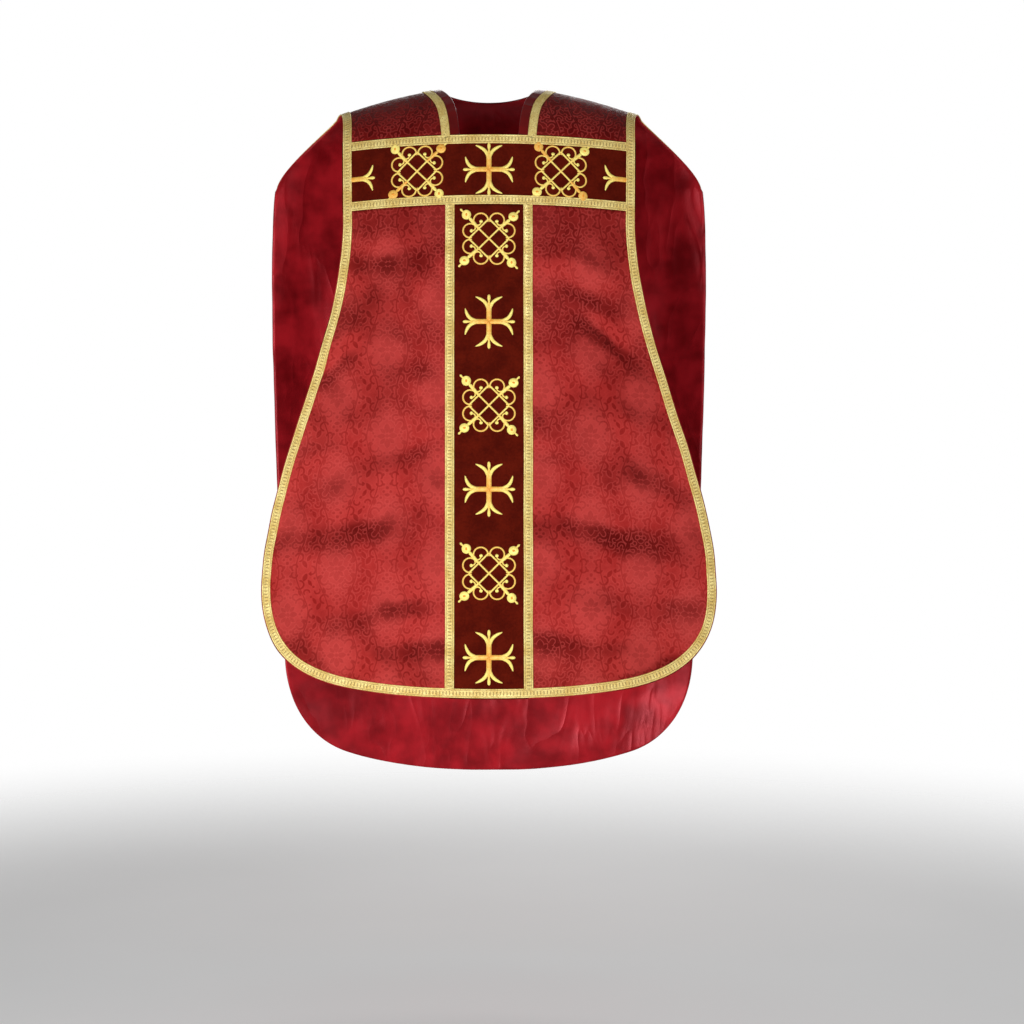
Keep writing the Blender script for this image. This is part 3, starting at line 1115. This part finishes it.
def emblemPiece(name, side, placed):
    # every stroke of every emblem, as domes on the cloth: width across the path, height above it
    points, uvs, tones, faces, caps, first = [], [], [], [], [], 0
    shape = np.array(domeShape)
    for (cx, ct), strokes in placed:
        across, down = slopes(side, np.array(cx), np.array(ct))
        stretch = np.array([np.linalg.norm(across), np.linalg.norm(down)])
        for path, wide, shade, dome in strokes:
            step = np.gradient(path, axis=0)
            aside = np.stack([-step[:, 1], step[:, 0]], -1)
            aside /= np.linalg.norm(aside, axis=1, keepdims=True) + 1e-12
            flat = path[:, None] + aside[:, None] * (shape[:, 0] * wide[:, None])[..., None]
            x = cx + flat[..., 0] / stretch[0]
            t = ct - flat[..., 1] / stretch[1]
            rise = shape[:, 1] * (stitchHeight["dome"] * dome) * np.minimum(1, wide / (1.2 * mm))[:, None]
            grid3 = clothPoint(side, x, t, stitchHeight["base"] + rise)
            run = np.concatenate([[0], np.cumsum(np.linalg.norm(np.diff(path, axis=0), axis=1))])
            rows, columns = x.shape
            points.append(grid3.reshape(-1, 3))
            uvs.append(np.stack([run[:, None] + 0 * x, shape[:, 0] * wide[:, None]], -1).reshape(-1, 2))
            tones.append(np.repeat(shade, columns))
            faces.append(gridFaces(rows, columns, wrap=True) + first)
            caps.append([first + k for k in range(columns)])
            caps.append([first + rows * columns - 1 - k for k in range(columns)])
            first += rows * columns
    points, faces = np.concatenate(points), np.concatenate(faces)
    a, b, c = points[faces[0, 0]], points[faces[0, 1]], points[faces[0, 2]]
    if (np.cross(b - a, c - b)[1] > 0) == (side == "front"):
        faces = faces[:, ::-1]
        caps = [cap[::-1] for cap in caps]
    piece = makeMesh(name, points, faces, np.concatenate(uvs), threadGold, caps)
    layer = piece.data.attributes.new("Tone", "FLOAT", "POINT")
    layer.data.foreach_set("value", np.concatenate(tones).astype(np.float32))
    return piece


emblems = {"firstKnotZ": -0.2515, "pitch": 0.130, "barX": 0.1125, "barZ": -0.14175, "backCrossZ": -0.082,
           "backKnotZ": -0.214}


def embroidery():
    cross, knot = crossStrokes(), knotStrokes()
    top = garment["seamZ"]
    first, pitch = top - emblems["firstKnotZ"], emblems["pitch"]
    knots = [((0, first + 2 * pitch * i), knot) for i in range(3)]
    crosses = [((0, first + pitch * (2 * i + 1)), cross) for i in range(3)]
    made["columnKnots"] = emblemPiece("front_column_knots_stitched", "front", knots)
    made["columnCrosses"] = emblemPiece("front_column_crosses_stitched", "front", crosses)
    barT = top - emblems["barZ"]
    made["barCross"] = emblemPiece("crossbar_cross_stitched", "front", [((0, barT), cross)])
    x = emblems["barX"]
    made["barKnots"] = emblemPiece(
        "crossbar_knots_stitched", "front", [((-x, barT), knotStrokes((0, 2))), ((x, barT), knotStrokes((1, 3)))])
    ends = [((218 * mm * flip, barT + 5 * mm), halfCrossStrokes(flip)) for flip in (1, -1)]
    made["barEnds"] = emblemPiece("crossbar_end_crosses_stitched", "front", ends)
    fold = garment["foldZ"]
    v = solveShoulder(np.array([0.0]), np.array([emblems["backCrossZ"]]), 2, 0.5, 1.0)
    upper = ((0, float(garment["downSpeed"] * (v[0] - 1))), cross)
    made["upperCross"] = emblemPiece("upper_back_cross_stitched", "back", [upper])
    first = fold - emblems["backKnotZ"]
    knots = [((0, first + 2 * pitch * i), knot) for i in range(4)]
    crosses = [((0, first + pitch * (2 * i + 1)), cross) for i in range(3)]
    made["backKnots"] = emblemPiece("back_column_knots_stitched", "back", knots)
    made["backCrosses"] = emblemPiece("back_column_crosses_stitched", "back", crosses)


embroidery()
print("embroidery made")

# joining the pieces to the frame
parts = [  # piece, side, material slot, the frame's nodes that it stands for
    ("frontLining", "front", "satin_lining", ["front_lining"]),
    ("frontCanvas", "front", "canvas", ["front_interlining"]),
    ("crossbar", "front", "velvet", ["crossbar"]),
    ("frontColumn", "front", "velvet", ["front_column"]),
    ("frontEdge", "front", "gold_braid", ["front_edge_braid", "armhole_braid_left", "armhole_braid_right"]),
    ("frontTurn", "front", "damask", []),
    ("bartop", "front", "gold_braid", ["crossbar_top_braid"]),
    ("barbottom", "front", "gold_braid", ["crossbar_bottom_braid"]),
    ("columnKnots", "front", "gold_thread", ["front_column_knots"]),
    ("columnCrosses", "front", "gold_thread", ["front_column_crosses"]),
    ("barCross", "front", "gold_thread", ["crossbar_cross"]),
    ("barKnots", "front", "gold_thread", ["crossbar_knots"]),
    ("barEnds", "front", "gold_thread", ["crossbar_end_crosses"]),
    ("backLining", "back", "satin_lining", ["back_lining", "shoulder_lining"]),
    ("backCanvas", "back", "canvas", ["back_interlining", "shoulder_interlining"]),
    ("backColumn", "back", "velvet", ["back_column", "upper_back_column"]),
    ("backEdge", "back", "gold_braid", ["back_edge_braid", "armhole_braid_left", "armhole_braid_right"]),
    ("backTurn", "back", "damask", []),
    ("neckFacingBack", "back", "satin_lining", ["neck_facing"]),
    ("neckBraidBack", "back", "gold_braid", ["neck_braid"]),
    ("upperCross", "back", "gold_thread", ["upper_back_cross"]),
    ("backKnots", "back", "gold_thread", ["back_column_knots"]),
    ("backCrosses", "back", "gold_thread", ["back_column_crosses"]),
]
for name in ("left", "right"):
    parts += [
        ("frontPanel" + name, "front", "damask", ["front_panel_" + name]),
        ("backPanel" + name, "back", "damask", ["back_panel_" + name, "shoulder_" + name]),
        (f"yoke_damask_{name}", "front", "damask", ["shoulder_" + name]),
        (f"yoke_canvas_{name}", "front", "canvas", ["shoulder_interlining"]),
        (f"yoke_lining_{name}", "front", "satin_lining", ["shoulder_lining"]),
        ("column" + name, "front", "gold_braid", ["front_column_braid_" + name]),
        ("backColumn" + name, "back", "gold_braid", ["back_column_braid_" + name, "upper_column_braids"]),
        ("neckFacing" + name, "front", "satin_lining", ["neck_facing"]),
        ("neckBraid" + name, "front", "gold_braid", ["neck_braid"]),
    ]
for key, side, slotName, nodes in parts:
    settle(made[key], side, nodes)

# each sheet's cut: (piece, width, length, area, what it lies on, the pieces stitched to it)
cuts = [
    ("frontLining", 0.71, 0.88, 0.51, [], []),
    ("frontCanvas", 0.71, 0.88, 0.50, ["frontLining"], []),
    ("crossbar", 0.47, 0.115, None, ["frontCanvas"], ["bartop", "barbottom", "barCross", "barKnots", "barEnds"]),
    ("frontColumn", 0.125, 0.78, None, ["frontCanvas"], ["columnleft", "columnright", "columnKnots", "columnCrosses"]),
    ("frontPanelleft", 0.30, 0.78, 0.175, ["frontCanvas"], ["frontEdge"]),
    ("frontPanelright", 0.30, 0.78, 0.175, ["frontCanvas"], []),
    ("frontTurn", 0.022, 2.35, None, ["frontCanvas"], []),
    ("backLining", 0.74, 1.24, 0.80, [], []),
    ("backCanvas", 0.74, 1.24, 0.79, ["backLining"], []),
    ("backColumn", 0.125, 1.16, None, ["backCanvas"],
     ["backColumnleft", "backColumnright", "upperCross", "backKnots", "backCrosses"]),
    ("backPanelleft", 0.31, 1.24, 0.33, ["backCanvas"], ["backEdge"]),
    ("backPanelright", 0.31, 1.24, 0.33, ["backCanvas"], []),
    ("backTurn", 0.022, 2.75, None, ["backCanvas"], []),
]
for name in ("left", "right"):
    cuts += [
        (f"yoke_lining_{name}", 0.19, 0.16, 0.023, [], []),
        (f"yoke_canvas_{name}", 0.19, 0.16, 0.023, [f"yoke_lining_{name}"], []),
        (f"yoke_damask_{name}", 0.19, 0.16, 0.023, [f"yoke_canvas_{name}"], ["neckBraid" + name, "neckFacing" + name]),
    ]
print("pieces joined to the frame")


# studio
studio = {
    "distance": 3.10, "eyeZ": -0.550, "span": 1.587, "shift": (0.0225, -0.080), "floorZ": -1.46, "sensor": 36.0,
}


def addFloor():
    mesh = bpy.data.meshes.new("floor")
    angle = np.linspace(0, 2 * math.pi, 97)[:-1]
    rings = np.linspace(0.02, 4.2, 40)
    ring = np.stack([np.outer(rings, np.cos(angle)), np.outer(rings, np.sin(angle)),
                     np.full((len(rings), len(angle)), studio["floorZ"])], -1)
    mesh.from_pydata(ring.reshape(-1, 3).tolist(), [], gridFaces(len(rings), len(angle), wrap=True)[:, ::-1].tolist()
                     + [list(range(len(angle)))])
    floor = bpy.data.objects.new("floor", mesh)
    bpy.context.scene.collection.objects.link(floor)
    material = bpy.data.materials.new("PaleFloor")
    material.use_nodes = True
    tree = material.node_tree
    shader = next(node for node in tree.nodes if node.type == "BSDF_PRINCIPLED")
    place3 = place(tree, "ShaderNodeTexCoord").outputs["Object"]
    grain = place(tree, "ShaderNodeTexNoise", {"Vector": place3, "Scale": 3.0, "Detail": 2.0}).outputs["Fac"]
    tree.links.new(mixed(tree, grain, (0.86, 0.86, 0.86, 1), (0.9, 0.9, 0.9, 1)), shader.inputs["Base Color"])
    shader.inputs["Roughness"].default_value = 0.8
    away = place(tree, "ShaderNodeVectorMath", {0: place3, 1: (0, 0, studio["floorZ"])}, operation="DISTANCE")
    tree.links.new(ramp(tree, away.outputs["Value"], 1.0, 2.6, 1.0, 0.0), shader.inputs["Alpha"])
    mesh.materials.append(material)


def addLight(name, place3, size, power, target=(0, 0, -0.5)):
    data = bpy.data.lights.new(name, "AREA")
    data.shape, data.size, data.energy = "SQUARE", size, power
    lamp = bpy.data.objects.new(name, data)
    lamp.location = place3
    lamp.rotation_euler = (Vector(target) - Vector(place3)).to_track_quat("-Z", "Y").to_euler()
    bpy.context.scene.collection.objects.link(lamp)


def addWorld(seen, given):
    # white to the camera, dimmer as a light
    world = bpy.data.worlds.new("Studio")
    bpy.context.scene.world = world
    world.use_nodes = True
    tree = world.node_tree
    ground = next(node for node in tree.nodes if node.type == "BACKGROUND")
    path = place(tree, "ShaderNodeLightPath").outputs["Is Camera Ray"]
    tree.links.new(ramp(tree, path, 0.0, 1.0, given, seen), ground.inputs["Strength"])
    ground.inputs["Color"].default_value = (1, 1, 1, 1)


def addCamera():
    data = bpy.data.cameras.new("Camera")
    data.sensor_width = studio["sensor"]
    data.lens = studio["sensor"] * studio["distance"] / studio["span"]
    data.shift_x, data.shift_y = studio["shift"]
    camera = bpy.data.objects.new("Camera", data)
    frontY = float(frontPoint(np.array(0.0), np.array(0.5))[1])
    camera.location = (0, frontY - studio["distance"], studio["eyeZ"])
    camera.rotation_euler = (math.pi / 2, 0, 0)
    bpy.context.scene.collection.objects.link(camera)
    bpy.context.scene.camera = camera


addFloor()
addLight("Key", (-1.5, -2.4, -1.05), 0.8, 56)
addLight("Fill", (2.0, -2.6, -0.4), 1.8, 38)
addLight("Back", (0.4, 2.6, 0.6), 1.8, 34)
addWorld(1.0, 0.26)
addCamera()
bpy.context.scene.view_settings.view_transform = "Standard"
